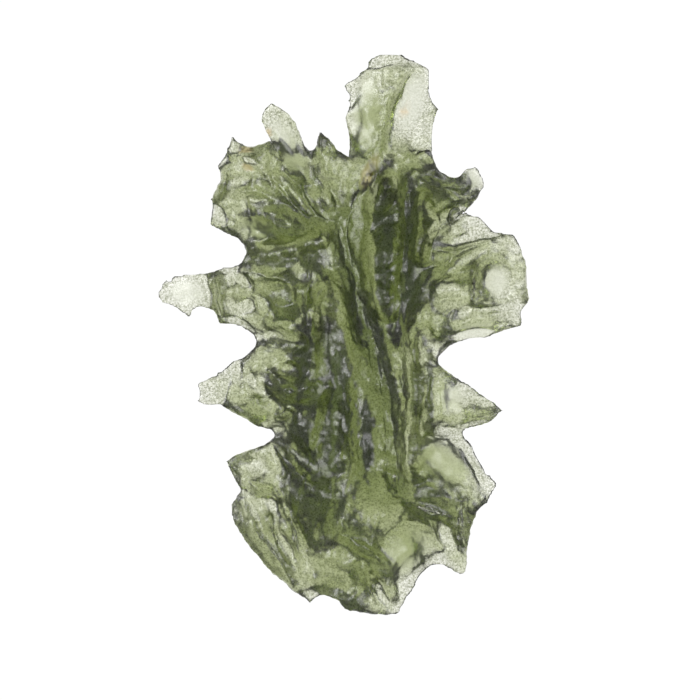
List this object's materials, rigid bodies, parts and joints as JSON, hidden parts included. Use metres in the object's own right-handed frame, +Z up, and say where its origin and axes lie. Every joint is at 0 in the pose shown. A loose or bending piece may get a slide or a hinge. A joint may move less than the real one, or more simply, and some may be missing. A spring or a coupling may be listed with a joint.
{
  "type": "moldavite",
  "caption": "Rough moldavite: a flat, spiny piece of bottle-green natural glass with ribs, fins and etched hollows, lying on its back.",
  "frame": {"origin": "centre of the bounding box at the height of the flat spots that the stone rests on", "axes": "+Z up from the flat spots, +Y along the stone towards the broad top blade, +X across it towards the spine with the blunt lobe"},
  "size_m": [0.0264, 0.04, 0.0096],
  "materials": {
    "green_glass": "clear bottle-green natural glass with an etched, finely pitted skin, glossy in the smooth hollows"
  },
  "bodies": {
    "root": {"moldavite": "green_glass"}
  },
  "joints": []
}
